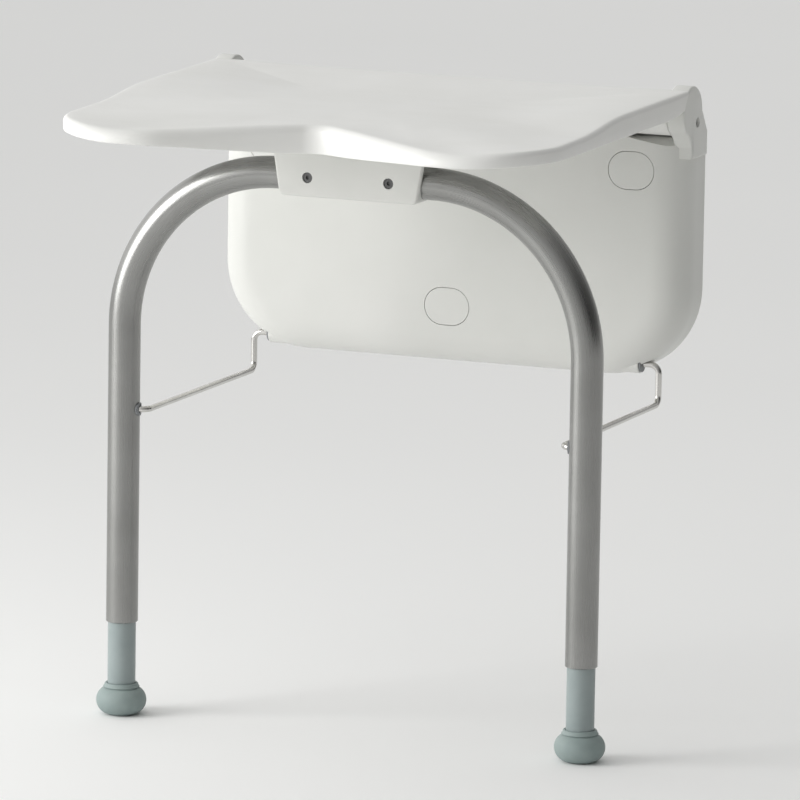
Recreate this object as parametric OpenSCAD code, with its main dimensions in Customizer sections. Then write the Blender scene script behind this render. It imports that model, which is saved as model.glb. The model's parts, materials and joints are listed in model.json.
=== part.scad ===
// Wall-mounted fold-up shower seat with telescoping front legs.
// X runs across the seat, the wall lies towards +Y, and the floor is Z = 0.

/* [Seat] */
// Overall width of the seat
seat_w = 404; // [360:1:440]
// Distance from the wall to the front of the thigh lobes
seat_reach = 382; // [350:1:440]
// Height of the seat's top face above the floor
seat_height = 492; // [455:1:600]
// Thickness of the seat's top skin
seat_skin = 6; // [4:0.5:8]
// Thickness of the turned-down rim
rim_wall = 4; // [3:0.5:6]
// Depth of the turned-down rim, from the top face
rim_h = 17; // [14:0.5:24]
// How far the middle recess runs back from the lobes
recess_depth = 68; // [40:1:80]
// Radius at the bottom of the recess
recess_r = 45; // [30:1:60]
// Depth of the lip in the recess, from the top face
recess_lip_h = 27; // [18:0.5:32]
// Radius of a thigh lobe and of the front corners
lobe_r = 65; // [50:1:75]
// Gap between the wall and the seat's rear edge
rear_gap = 44; // [40:1:52]
// Thickness of the stiffening ribs
rib_t = 2.5; // [2:0.1:4]

/* [Wall plate] */
// How far the wall plate's side stands in from the seat's side
plate_inset = 4; // [2:0.5:12]
// Thickness of the wall plate at its crowned middle
plate_t = 46; // [40:0.5:50]
// Thickness of the wall plate at its edge
plate_edge_t = 27; // [20:0.5:32]
// Radius of the plate's bottom corners
plate_r = 70; // [50:1:90]
// Thickness of the plate's moulded wall
plate_wall = 3.5; // [2.5:0.1:5]
// Distance from the stay pivot down to the plate's lower edge
plate_below_pivot = 10.5; // [9:0.5:16]
// Distance of the upper wall screws from the plate's sides
screw_inset = 45; // [43:1:70]
// Distance of the upper wall screws below the hinge axis
screw_drop = 39; // [36:0.5:60]
// Radius of the wall screw holes
wall_hole_r = 3.25; // [2.5:0.05:4.5]
// Thickness of the pad that each wall screw pulls on
screw_pad_t = 6; // [4:0.5:10]
// Width of an oval cap
cap_w = 38; // [30:0.5:44]
// Height of an oval cap
cap_h = 30; // [24:0.5:34]

/* [Hinge] */
// Distance of the hinge axis from the wall
hinge_out = 27; // [24:0.5:34]
// Distance of the hinge axis below the seat's top face
hinge_drop = 24; // [21:0.5:27]
// Radius of a hinge ear
ear_r = 20.5; // [18:0.5:24]
// Thickness of a hinge ear
ear_t = 15; // [12:0.5:20]
// Width of a hinge knuckle
knuckle_w = 34; // [24:1:40]
// Radius of a hinge knuckle
knuckle_r = 12; // [10:0.5:13]
// Radius of the hinge pins
pin_r = 4; // [3:0.1:5]
// Wall of the hinge bushes
bush_wall = 1.5; // [1:0.1:2.5]

/* [Legs] */
// Distance of the leg frame from the hinge axis
leg_reach = 208; // [180:1:230]
// How far a leg's centre line stands in from the seat's side
leg_inset = 9.5; // [5:0.5:24]
// Outer radius of the leg tube
tube_r = 12.5; // [11:0.25:15]
// Wall of the leg tube
tube_wall = 1.5; // [1.2:0.1:2]
// Bend radius of the leg frame, on the tube's centre line
bend_r = 128; // [100:1:140]
// Distance of the tube's centre line below the seat's top face
tube_drop = 55; // [50:1:65]
// Distance between the holes of the height adjustment
step = 20; // [16:1:24]
// Number of holes in each leg
hole_count = 7; // [7:1:7]
// Index of the hole in use, counted down from the top
hole_in_use = 2; // [2:1:2]
// Wall of the telescoping inner leg
inner_wall = 2.6; // [2:0.1:3.5]
// Length of inner leg that shows below the tube
inner_show = 49; // [45:1:80]
// Radius of the snap buttons
button_r = 4; // [3:0.1:4.5]
// How far a snap button stands out of the tube
button_proud = 2; // [1:0.1:3]
// Travel of a snap button
button_travel = 4.5; // [4:0.1:6]

/* [Feet] */
// How far a rubber foot stands out round the leg tube
foot_bulge = 7.2; // [5:0.1:11]
// Height of a rubber foot
foot_h = 25; // [22:0.5:32]
// Thickness of rubber under the leg
foot_sole = 6; // [4:0.5:9]

/* [Stay] */
// Radius of the stay wire
wire_r = 2.5; // [2:0.1:3]
// Distance between the stay's pivot and the hinge axis, and between the leg hole and the tube's centre line
pivot_drop = 194; // [170:1:215]
// Bend radius of the wire, on its centre line
wire_bend = 7; // [6:0.5:9]
// Clear distance between a stay arm and the leg tube
arm_gap = 4.5; // [4:0.5:9]

/* [Leg clamp] */
// Width of the clamp housing at its top
housing_w = 132; // [110:1:150]
// How much narrower the housing is at its bottom, at each end
housing_taper = 9; // [4:0.5:14]
// Material in front of and behind the leg tube
housing_wall = 3.5; // [3:0.1:6]
// Material under the leg tube
housing_floor = 2.5; // [2:0.1:5]
// Distance between the two guide screws
guide_span = 67; // [50:1:80]
// Radius of a guide screw's recess
guide_recess_r = 4.2; // [4:0.1:5]
// Radius of a guide screw's tip
guide_tip_r = 2.4; // [2:0.1:3]

/* [Hidden] */
$fn = 96;

run_gap = 0.06;         // radial clearance of a running fit
clear_gap = 0.35;       // clearance between pieces that pass each other
cut = 1;                // how far a cutting solid runs past a face

wall_y = seat_reach / 2;
hinge_y = wall_y - hinge_out;
hinge_z = seat_height - hinge_drop;
tube_z = seat_height - tube_drop;
leg_y = hinge_y - leg_reach;
leg_x = seat_w / 2 - leg_inset;
stay_z = hinge_z - pivot_drop;
leg_hole_z = tube_z - pivot_drop;
arm_x = leg_x - tube_r - arm_gap - wire_r;

white = "whitesmoke";
metal = "silver";
aqua = "lightsteelblue";
teal = "cadetblue";

// Rod between two X positions, lying along X at the given Y and Z
module rod_x(x0, x1, y, z, r) {
    translate([x0, y, z]) rotate([0, 90, 0]) cylinder(r = r, h = x1 - x0);
}

// Rod between two Y positions, lying along Y at the given X and Z
module rod_y(x, y0, y1, z, r) {
    translate([x, y0, z]) rotate([-90, 0, 0]) cylinder(r = r, h = y1 - y0);
}

// Rod between two Z positions at the given X and Y
module rod_z(x, y, z0, z1, r) {
    translate([x, y, z0]) cylinder(r = r, h = z1 - z0);
}

// The child on the right, or its mirror image on the left
module on_side(side) {
    if (side > 0) children();
    else mirror([1, 0, 0]) children();
}

// ---- Wall plate ----
plate_w = seat_w - plate_inset * 2;
plate_bottom_z = stay_z - plate_below_pivot;
plate_top_z = seat_height - 7;
plate_top_r = 14;
ear_out_x = seat_w / 2 - 1;
ear_in_x = ear_out_x - ear_t;
ear_y = hinge_y - 10;
ear_z = hinge_z + 9;
knuckle_out_x = ear_in_x - clear_gap * 2;
knuckle_in_x = knuckle_out_x - knuckle_w;
pin_end_x = ear_out_x - 2;
slot_floor_z = hinge_z - knuckle_r - 3;
slot_in_x = knuckle_in_x - clear_gap * 2;
crown_inset = 24;
shoulder_inset = 10;
shoulder_t = plate_t - 7;
// section of the shelf under a knuckle, as x and distance from the wall, just inside the face
shelf_outline = [
    [slot_in_x - plate_wall, 0],
    [slot_in_x - plate_wall, plate_t - 2],
    [plate_w / 2 - crown_inset, plate_t - 2],
    [plate_w / 2 - shoulder_inset, shoulder_t - 2],
    [plate_w / 2 - 3, plate_edge_t - 2],
    [plate_w / 2 - 3, 0]
];
lower_cap_z = plate_bottom_z + 46.5;
upper_cap_z = hinge_z - screw_drop;
upper_cap_x = plate_w / 2 - screw_inset;
cap_places = [
    [-upper_cap_x, upper_cap_z],
    [upper_cap_x, upper_cap_z],
    [0, lower_cap_z]
];
cap_t = 3;
cap_gap = 0.2;
skirt_h = 8;
skirt_wall = 1.6;
pocket_wall = 2.5;
rib_notch = 30;
plate_rib_x = 79.2;
stay_boss_r = 7.5;
stay_boss_l = 19.5;
stay_flange_t = 1.5;
stay_boss_out = arm_x - wire_bend - 8;
stay_boss_in = stay_boss_out - stay_boss_l;
stay_bush_r = wire_r + run_gap + 1.5;
swing_r = norm([seat_height - hinge_z, hinge_y - (wall_y - rear_gap)]);
ear_reach = norm([hinge_y - ear_y, ear_z - hinge_z]) + ear_r;

// Outline of the plate from the front, drawn inwards by i; its lower corners are round
function plate_outline(i) =
    let (x = plate_w / 2 - plate_r, z = plate_bottom_z + plate_r, r = plate_r - i,
         xt = plate_w / 2 - plate_top_r, zt = plate_top_z - plate_top_r, rt = max(plate_top_r - i, 1),
         xr = plate_w / 2 - i - rt, zr = plate_top_z - i - rt)
    concat(
        [for (a = [0:9:90]) [-x - r * sin(90 - a), z - r * sin(a)]],
        [for (a = [0:9:90]) [x + r * sin(a), z - r * cos(a)]],
        [for (a = [0:15:90]) [xr + rt * cos(a), zr + rt * sin(a)]],
        [for (a = [0:15:90]) [-xr - rt * sin(a), zr + rt * cos(a)]]
    );

// Slab with the plate's outline, between two distances from the wall
module plate_slab(i, d0, d1) {
    translate([0, wall_y - d0, 0]) rotate([90, 0, 0]) linear_extrude(d1 - d0) polygon(plate_outline(i));
}

// Crowned body of the plate, shrunk by s on every side but the wall's
module plate_pillow(s, d0) {
    hull() {
        plate_slab(s, d0, plate_edge_t - s);
        plate_slab(shoulder_inset + s, d0, shoulder_t - s);
        plate_slab(crown_inset + s, d0, plate_t - s);
    }
}

// Oval prism standing off the wall at x and z
module oval(x, z, w, h, d0, d1) {
    translate([x, wall_y - d0, z]) rotate([90, 0, 0]) linear_extrude(d1 - d0) {
        for (s = [-1, 1]) translate([s * (w - h) / 2, 0]) circle(d = h);
        square([w - h, h], center = true);
    }
}

// Hinge ear with the neck that carries it down to the plate's edge
module ear_solid(side) {
    neck_z = plate_top_z - 52;
    on_side(side) hull() {
        rod_x(ear_in_x, ear_out_x, ear_y, ear_z, ear_r);
        translate([ear_in_x, wall_y - shoulder_t, neck_z]) cube([plate_w / 2 - ear_in_x - 4, shoulder_t - 6, 4]);
    }
}

module wall_plate() {
    color(white) difference() {
        union() {
            difference() {
                plate_pillow(0, 0);
                plate_pillow(plate_wall, -cut);
                // room for the seat's rear edge to swing through
                for (side = [-1, 1]) on_side(side)
                    translate([slot_in_x, wall_y - plate_t - cut, slot_floor_z])
                        cube([plate_w / 2 - slot_in_x + cut, plate_t + cut * 2, plate_top_z]);
                difference() {
                    translate([-plate_w / 2, wall_y - plate_t - cut, hinge_z])
                        cube([plate_w, plate_t + cut * 2, plate_top_z]);
                    rod_x(-plate_w / 2, plate_w / 2, hinge_y, hinge_z, swing_r - seat_skin - 2);
                }
            }
            // shelf and inner wall that close the plate round each knuckle
            for (side = [-1, 1]) on_side(side) {
                translate([0, 0, slot_floor_z - plate_wall]) linear_extrude(plate_wall)
                    polygon([for (p = shelf_outline) [p[0], wall_y - p[1]]]);
                translate([slot_in_x - plate_wall, wall_y - plate_t + 2, slot_floor_z - plate_wall])
                    cube([plate_wall, plate_t - 2, hinge_z - slot_floor_z + plate_wall]);
            }
            for (side = [-1, 1]) ear_solid(side);
            // screw pockets
            for (p = cap_places) difference() {
                oval(p[0], p[1], cap_w + pocket_wall * 2, cap_h + pocket_wall * 2, 0, plate_t);
                oval(p[0], p[1], cap_w, cap_h, screw_pad_t, plate_t + cut);
            }
            // bosses for the stay
            for (side = [-1, 1]) on_side(side)
                rod_x(stay_boss_in, stay_boss_out, hinge_y, stay_z, stay_boss_r);
            // upright ribs behind the face
            for (side = [-1, 1])
                translate([side * plate_rib_x - rib_t / 2, wall_y - plate_t + plate_wall / 2, stay_z + rib_notch])
                    cube([rib_t, plate_t - plate_wall, slot_floor_z - stay_z - rib_notch]);
        }
        for (p = cap_places) {
            oval(p[0], p[1], cap_w, cap_h, screw_pad_t, plate_t + cut);
            rod_y(p[0], wall_y - screw_pad_t - cut, wall_y + cut, p[1], wall_hole_r);
        }
        for (side = [-1, 1]) on_side(side) {
            rod_x(ear_in_x - cut, ear_out_x + cut, hinge_y, hinge_z, pin_r + run_gap);
            // way for the cross rod past the plate's inner corner
            rod_x(0, stay_boss_in, hinge_y, stay_z, wire_r + clear_gap);
            // bore for the bush, which runs on to let the wire out through the plate's corner
            rod_x(stay_boss_in - cut, arm_x, hinge_y, stay_z, stay_bush_r + run_gap);
            rod_x(stay_boss_out, stay_boss_out + stay_flange_t + clear_gap, hinge_y, stay_z, stay_boss_r);
        }
    }
}

// Oval cap that snaps into a screw pocket
module cap(i) {
    p = cap_places[i];
    w = cap_w - cap_gap * 2;
    h = cap_h - cap_gap * 2;
    color(white) difference() {
        oval(p[0], p[1], w, h, plate_t - skirt_h, plate_t);
        oval(p[0], p[1], w - skirt_wall * 2, h - skirt_wall * 2, plate_t - skirt_h - cut, plate_t - cap_t);
    }
}
module cap_upper_left() { cap(0); }
module cap_upper_right() { cap(1); }
module cap_lower() { cap(2); }

// Hinge pin through one ear and one knuckle
module hinge_pin(side) {
    color(metal) on_side(side) rod_x(knuckle_in_x + 2, pin_end_x, hinge_y, hinge_z, pin_r);
}
module hinge_pin_left() { hinge_pin(-1); }
module hinge_pin_right() { hinge_pin(1); }

// Bush that the stay turns in, at a lower corner of the plate
module stay_bush(side) {
    color("dimgray") on_side(side) difference() {
        union() {
            rod_x(stay_boss_in, stay_boss_out, hinge_y, stay_z, stay_bush_r);
            rod_x(stay_boss_out, stay_boss_out + stay_flange_t, hinge_y, stay_z, stay_boss_r - 1);
        }
        rod_x(stay_boss_in - cut, stay_boss_out + stay_flange_t + cut, hinge_y, stay_z, wire_r + run_gap);
    }
}
module stay_bush_left() { stay_bush(-1); }
module stay_bush_right() { stay_bush(1); }

// ---- Seat ----
lobe_x = seat_w / 2 - lobe_r;
lobe_d = seat_reach - lobe_r;
recess_d = seat_reach - recess_depth;
blend_r = lobe_r + recess_r;
// angle at which the lobe's arc meets the flank of the recess
flank = asin(blend_r / norm([lobe_x, recess_depth - blend_r])) + atan2(recess_depth - blend_r, lobe_x);
skin_z = seat_height - seat_skin;
rim_z = seat_height - rim_h;
lip_z = seat_height - recess_lip_h;
boss_r = 6;
pilot_r = 1.9;
flange_t = 4;
rib_drop = 8;
rib_pitch = 56;
rib_rows = floor((seat_reach - rear_gap - rim_wall * 2) / rib_pitch);

// Right half of the seat's outline, as x and distance from the wall, drawn inwards by i
function half_outline(i) = concat(
    [for (k = [0:6]) let (a = flank * k / 6)
        [(recess_r + i) * sin(a), recess_d + recess_r - (recess_r + i) * cos(a)]],
    [for (k = [0:16]) let (a = -flank + (90 + flank) * k / 16)
        [lobe_x + (lobe_r - i) * sin(a), lobe_d + (lobe_r - i) * cos(a)]],
    [[seat_w / 2 - i, rear_gap + i]]
);
function seat_outline(i) =
    let (h = half_outline(i), n = len(h))
    concat([for (k = [0:n - 1]) [h[k][0], wall_y - h[k][1]]],
           [for (k = [n - 1:-1:1]) [-h[k][0], wall_y - h[k][1]]]);

module seat_slab(i, z0, z1) {
    translate([0, 0, z0]) linear_extrude(z1 - z0) polygon(seat_outline(i));
}

housing_front_y = leg_y - tube_r - housing_wall;
housing_back_y = leg_y + tube_r + housing_wall;
housing_bottom_z = tube_z - tube_r - housing_floor;
channel_r = tube_r + run_gap;
screw_x = housing_w / 2 - 18;
screw_rows = [housing_front_y - 9, housing_back_y + 9];
flange_top_z = skin_z - rib_drop;

module knuckle(side) {
    web_t = 10;
    on_side(side) {
        rod_x(knuckle_in_x, knuckle_out_x, hinge_y, hinge_z, knuckle_r);
        translate([knuckle_in_x, wall_y - rear_gap - web_t, hinge_z - knuckle_r])
            cube([knuckle_w, web_t, skin_z - hinge_z + knuckle_r + 1]);
        translate([knuckle_in_x, wall_y - rear_gap - 1, hinge_z - knuckle_r])
            cube([knuckle_w, rear_gap - hinge_out + 1, knuckle_r]);
    }
}

module seat_shell() {
    color(white) difference() {
        union() {
            seat_slab(0, skin_z, seat_height);
            difference() {
                seat_slab(0, rim_z, seat_height - cut);
                seat_slab(rim_wall, rim_z - cut, seat_height);
            }
            // deeper lip across the recess
            intersection() {
                difference() {
                    seat_slab(0, lip_z, seat_height - cut);
                    seat_slab(rim_wall, lip_z - cut, seat_height);
                }
                translate([-lobe_x + 20, wall_y - seat_reach, lip_z])
                    cube([lobe_x * 2 - 40, recess_depth + rim_wall * 4, recess_lip_h]);
            }
            // stiffening ribs, kept inside the rim
            intersection() {
                seat_slab(rim_wall / 2, rim_z, skin_z + 1);
                union() {
                    for (k = [-3:3])
                        translate([k * seat_w / 8 - rib_t / 2, wall_y - seat_reach, skin_z - rib_drop])
                            cube([rib_t, seat_reach, rib_drop + 1]);
                    for (k = [1:rib_rows])
                        translate([-seat_w / 2, wall_y - rear_gap - k * rib_pitch - rib_t / 2, skin_z - rib_drop])
                            cube([seat_w, rib_t, rib_drop + 1]);
                }
            }
            for (side = [-1, 1]) knuckle(side);
            // saddle that closes the clamp over the leg tube
            translate([-housing_w / 2 + housing_taper, leg_y - tube_r + clear_gap, tube_z + tube_r / 2])
                cube([housing_w - housing_taper * 2, tube_r * 2 - clear_gap * 2, skin_z - tube_z - tube_r / 2 + 1]);
            for (sx = [-1, 1]) for (y = screw_rows)
                rod_z(sx * screw_x, y, flange_top_z, skin_z + 1, boss_r);
        }
        rod_x(-housing_w, housing_w, leg_y, tube_z, channel_r);
        for (side = [-1, 1]) on_side(side) {
            rod_x(knuckle_in_x - cut, knuckle_out_x + cut, hinge_y, hinge_z, pin_r + bush_wall + run_gap);
            // relief that lets the rim pass the ear
            rod_x(knuckle_out_x + clear_gap / 2, seat_w / 2 + cut, hinge_y, hinge_z, ear_reach + clear_gap * 2);
        }
        for (sx = [-1, 1]) for (y = screw_rows)
            rod_z(sx * screw_x, y, flange_top_z - cut, skin_z + 2, pilot_r);
    }
}

// Bush in a knuckle, which turns on the hinge pin
module hinge_bush(side) {
    color("dimgray") on_side(side) difference() {
        rod_x(knuckle_in_x, knuckle_out_x, hinge_y, hinge_z, pin_r + bush_wall);
        rod_x(knuckle_in_x - cut, knuckle_out_x + cut, hinge_y, hinge_z, pin_r + run_gap);
    }
}
module hinge_bush_left() { hinge_bush(-1); }
module hinge_bush_right() { hinge_bush(1); }

// ---- Leg clamp ----
guide_head_t = 2;
guide_head_y = housing_front_y + 1;

// Trough that carries the leg tube, screwed up under the seat
module clamp_housing() {
    body_top_z = flange_top_z - flange_t;
    color(white) difference() {
        union() {
            translate([0, housing_back_y, 0]) rotate([90, 0, 0])
                linear_extrude(housing_back_y - housing_front_y) polygon([
                    [-housing_w / 2 + housing_taper + 4, housing_bottom_z],
                    [housing_w / 2 - housing_taper - 4, housing_bottom_z],
                    [housing_w / 2 - housing_taper, housing_bottom_z + 4],
                    [housing_w / 2, flange_top_z],
                    [-housing_w / 2, flange_top_z],
                    [-housing_w / 2 + housing_taper, housing_bottom_z + 4]
                ]);
            translate([-screw_x - boss_r, screw_rows[0] - boss_r, body_top_z])
                cube([screw_x * 2 + boss_r * 2, screw_rows[1] - screw_rows[0] + boss_r * 2, flange_t]);
        }
        rod_x(-housing_w, housing_w, leg_y, tube_z, channel_r);
        translate([-housing_w, leg_y - channel_r, tube_z])
            cube([housing_w * 2, channel_r * 2, skin_z]);
        for (sx = [-1, 1]) {
            rod_y(sx * guide_span / 2, housing_front_y - cut, guide_head_y + guide_head_t, tube_z, guide_recess_r);
            rod_y(sx * guide_span / 2, housing_front_y, leg_y, tube_z, guide_tip_r + run_gap);
            for (y = screw_rows)
                rod_z(sx * screw_x, y, body_top_z - cut, flange_top_z + cut, pilot_r + 0.4);
        }
    }
}

// Screws that hold the housing up under the seat
module housing_screws() {
    head_h = 2.6;
    shank_r = pilot_r - run_gap;
    color(metal) for (sx = [-1, 1]) for (y = screw_rows) {
        rod_z(sx * screw_x, y, flange_top_z - flange_t - head_h, flange_top_z - flange_t, shank_r * 2);
        rod_z(sx * screw_x, y, flange_top_z - flange_t - head_h / 2, skin_z, shank_r);
    }
}

// Guide screws, whose tips ride in slots of the tube and stop it sliding sideways
module guide_screws() {
    tip_y = leg_y - tube_r + tube_wall + 0.2;
    color(metal) for (sx = [-1, 1]) difference() {
        union() {
            rod_y(sx * guide_span / 2, guide_head_y, guide_head_y + guide_head_t, tube_z, guide_recess_r - 0.3);
            rod_y(sx * guide_span / 2, guide_head_y, tip_y, tube_z, guide_tip_r);
        }
        // hexagon socket
        translate([sx * guide_span / 2, guide_head_y - cut, tube_z]) rotate([-90, 0, 0])
            cylinder(r = 1.7, h = cut + 1.4, $fn = 6);
    }
}

// ---- Leg frame ----
tube_end_z = foot_h + inner_show;
straight_x = leg_x - bend_r;
bend_z = tube_z - bend_r;
bore_r = tube_r - tube_wall;
leg_stroke_up = step * hole_in_use;
grommet_r = wire_r + clear_gap + 1;
inner_top_z = leg_hole_z - grommet_r - 1.5 - leg_stroke_up;
button_below_top = 27.65;
button_z = inner_top_z - button_below_top;
lowest_hole_z = tube_end_z + button_r + 6;
hole_zs = [for (k = [0:hole_count - 1])
    let (z = button_z + (hole_in_use - k) * step) if (z >= lowest_hole_z) z];
fold_max = 86;

// Path of the leg frame as a solid rod of radius r
module frame_rod(r) {
    rod_x(-straight_x, straight_x, leg_y, tube_z, r);
    for (side = [-1, 1]) on_side(side) {
        translate([straight_x, leg_y, bend_z]) rotate([90, 0, 0])
            rotate_extrude(angle = 90) translate([bend_r, 0]) circle(r = r);
        rod_z(leg_x, leg_y, tube_end_z, bend_z, r);
    }
}

module leg_tube() {
    slot_half = 2.4 + clear_gap;
    color(metal) difference() {
        frame_rod(tube_r);
        frame_rod(bore_r);
        for (side = [-1, 1]) on_side(side) {
            rod_z(leg_x, leg_y, tube_end_z - cut, tube_end_z + cut, bore_r);
            // holes for the stay, through the inner side only
            rod_x(leg_x - tube_r - cut, leg_x - bore_r / 2, leg_y, leg_hole_z, grommet_r + run_gap);
            // row of holes for the snap button, towards the wall
            for (z = hole_zs)
                rod_y(leg_x, leg_y + bore_r / 2, leg_y + tube_r + cut, z, button_r + clear_gap);
            // slot for the guide screw, from the front over the top
            translate([guide_span / 2 - slot_half, leg_y, tube_z]) rotate([90, 0, 90])
                rotate_extrude(angle = fold_max + 42, start = 90 - 21)
                    translate([bore_r - 1, 0]) square([tube_wall + 2, slot_half * 2]);
        }
    }
}

// Grommet in the tube's wall that keeps the wire off the metal
module stay_grommet(side) {
    lip_t = 1.2;
    color("dimgray") on_side(side) difference() {
        union() {
            rod_x(leg_x - tube_r - lip_t, leg_x - bore_r + 0.6, leg_y, leg_hole_z, grommet_r);
            intersection() {
                rod_x(leg_x - tube_r - lip_t, leg_x - tube_r + 1, leg_y, leg_hole_z, grommet_r + 1.4);
                difference() {
                    rod_z(leg_x, leg_y, leg_hole_z - 8, leg_hole_z + 8, tube_r + lip_t);
                    rod_z(leg_x, leg_y, leg_hole_z - 9, leg_hole_z + 9, tube_r);
                }
            }
        }
        rod_x(leg_x - tube_r - lip_t - cut, leg_x - bore_r + 2, leg_y, leg_hole_z, wire_r + clear_gap);
    }
}
module stay_grommet_left() { stay_grommet(-1); }
module stay_grommet_right() { stay_grommet(1); }

// ---- Inner legs ----
inner_r = bore_r - run_gap;
inner_bore_r = inner_r - inner_wall;
button_tip_y = leg_y + tube_r + button_proud;
button_back_y = leg_y + inner_r - inner_wall - 2;
collar_t = 1.5;
spring_t = 0.8;
spring_w = 5;
spring_front_y = leg_y - sqrt(pow(inner_bore_r, 2) - pow(spring_w / 2, 2)) + clear_gap;

module inner_leg(side) {
    color(aqua) on_side(side) difference() {
        rod_z(leg_x, leg_y, foot_sole + collar_t, inner_top_z, inner_r);
        rod_z(leg_x, leg_y, foot_sole, inner_top_z + cut, inner_bore_r);
        rod_y(leg_x, leg_y + inner_bore_r / 2, leg_y + tube_r + cut, button_z, button_r + run_gap);
    }
}
module inner_leg_left() { inner_leg(-1); }
module inner_leg_right() { inner_leg(1); }

// Profile of the foot's rubber, from the sole to the neck
foot_r = tube_r + foot_bulge;
bulge_r = foot_h / 2 - 1;
neck_r = inner_r + 2.6;
function foot_profile() = concat(
    [[0, 0], [foot_r - bulge_r + 3, 0]],
    [for (a = [-72:8:64]) [foot_r - bulge_r + bulge_r * cos(a), bulge_r + bulge_r * sin(a)]],
    [[neck_r, foot_h - 1.5], [neck_r - 0.8, foot_h], [0, foot_h]]
);

// Rubber foot: a squashed ball round a socket for the inner leg
module foot(side) {
    color(teal) on_side(side) translate([leg_x, leg_y, 0]) difference() {
        rotate_extrude() polygon(foot_profile());
        translate([0, 0, foot_sole]) cylinder(r = inner_r + run_gap, h = foot_h);
    }
}
module foot_left() { foot(-1); }
module foot_right() { foot(1); }

// Steel washer that keeps the leg from cutting through the rubber
module foot_washer(side) {
    color(metal) on_side(side) difference() {
        rod_z(leg_x, leg_y, foot_sole, foot_sole + collar_t, inner_r - 0.4);
        rod_z(leg_x, leg_y, foot_sole - cut, foot_sole + collar_t + cut, inner_r / 3);
    }
}
module foot_washer_left() { foot_washer(-1); }
module foot_washer_right() { foot_washer(1); }

// Button that locks the inner leg in a hole of the tube
module snap_button(side) {
    color(metal) on_side(side) {
        rod_y(leg_x, button_back_y, button_tip_y - 1, button_z, button_r);
        rod_y(leg_x, button_tip_y - 1.5, button_tip_y, button_z, button_r - 1);
    }
}
module snap_button_left() { snap_button(-1); }
module snap_button_right() { snap_button(1); }

// Leaf spring behind the button, bent back against the far wall of the leg
module button_spring(side) {
    reach = 30;
    color(metal) on_side(side) translate([leg_x - spring_w / 2, 0, 0]) {
        translate([0, button_back_y - spring_t, button_z - reach + 4]) cube([spring_w, spring_t, reach]);
        translate([0, spring_front_y, button_z - reach + 4]) cube([spring_w, spring_t, reach]);
        translate([0, spring_front_y, button_z - reach + 4 - spring_t])
            cube([spring_w, button_back_y - spring_front_y, spring_t]);
    }
}
module button_spring_left() { button_spring(-1); }
module button_spring_right() { button_spring(1); }

// ---- Stay ----
wire_end_x = leg_x - bore_r + 2;

// Quarter bend of the wire in the plane that the rotation a sets
module wire_elbow(at, a) {
    translate(at) rotate(a) rotate_extrude(angle = 90) translate([wire_bend, 0]) circle(r = wire_r, $fn = 48);
}

// One wire: hooks in the legs, arms, drops, and a cross rod behind the plate
module stay_wire() {
    color(metal) {
        rod_x(-arm_x + wire_bend, arm_x - wire_bend, hinge_y, stay_z, wire_r);
        for (side = [-1, 1]) on_side(side) {
            wire_elbow([arm_x - wire_bend, hinge_y, stay_z - wire_bend], [90, 0, 0]);
            rod_z(arm_x, hinge_y, leg_hole_z + wire_bend, stay_z - wire_bend, wire_r);
            wire_elbow([arm_x, hinge_y - wire_bend, leg_hole_z + wire_bend], [-90, 0, 90]);
            rod_y(arm_x, leg_y + wire_bend, hinge_y - wire_bend, leg_hole_z, wire_r);
            wire_elbow([arm_x + wire_bend, leg_y + wire_bend, leg_hole_z], [0, 0, 180]);
            rod_x(arm_x + wire_bend, wire_end_x, leg_y, leg_hole_z, wire_r);
        }
    }
}

wall_plate();
cap_upper_left();
cap_upper_right();
cap_lower();
hinge_pin_left();
hinge_pin_right();
stay_bush_left();
stay_bush_right();
seat_shell();
hinge_bush_left();
hinge_bush_right();
clamp_housing();
housing_screws();
guide_screws();
leg_tube();
stay_grommet_left();
stay_grommet_right();
inner_leg_left();
inner_leg_right();
foot_left();
foot_right();
foot_washer_left();
foot_washer_right();
button_spring_left();
button_spring_right();
snap_button_left();
snap_button_right();
stay_wire();
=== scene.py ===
import json
import math

import bmesh
import bpy
import numpy as np
from mathutils import Matrix, Vector


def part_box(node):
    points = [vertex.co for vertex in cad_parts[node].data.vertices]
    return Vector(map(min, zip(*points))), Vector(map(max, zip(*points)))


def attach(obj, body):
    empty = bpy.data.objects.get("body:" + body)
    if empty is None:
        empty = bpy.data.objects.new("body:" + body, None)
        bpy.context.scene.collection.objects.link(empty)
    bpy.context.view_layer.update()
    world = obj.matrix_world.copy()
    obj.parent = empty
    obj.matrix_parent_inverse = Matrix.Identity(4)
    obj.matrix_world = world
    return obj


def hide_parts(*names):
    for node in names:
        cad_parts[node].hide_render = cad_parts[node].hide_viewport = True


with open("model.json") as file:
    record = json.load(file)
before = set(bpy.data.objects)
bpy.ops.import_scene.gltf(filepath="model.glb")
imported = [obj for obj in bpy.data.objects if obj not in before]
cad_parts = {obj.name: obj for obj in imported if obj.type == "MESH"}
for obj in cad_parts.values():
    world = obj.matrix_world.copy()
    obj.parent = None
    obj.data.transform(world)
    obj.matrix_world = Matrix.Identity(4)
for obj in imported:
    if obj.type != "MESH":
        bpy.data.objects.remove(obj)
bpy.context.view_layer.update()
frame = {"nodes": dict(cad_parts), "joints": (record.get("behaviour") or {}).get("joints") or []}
print("frame loaded,", len(frame["nodes"]), "nodes")

mm = 0.001
joints = {j["name"]: j for j in frame["joints"]}


def boxMm(node):
    low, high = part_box(node)
    return low / mm, high / mm


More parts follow.
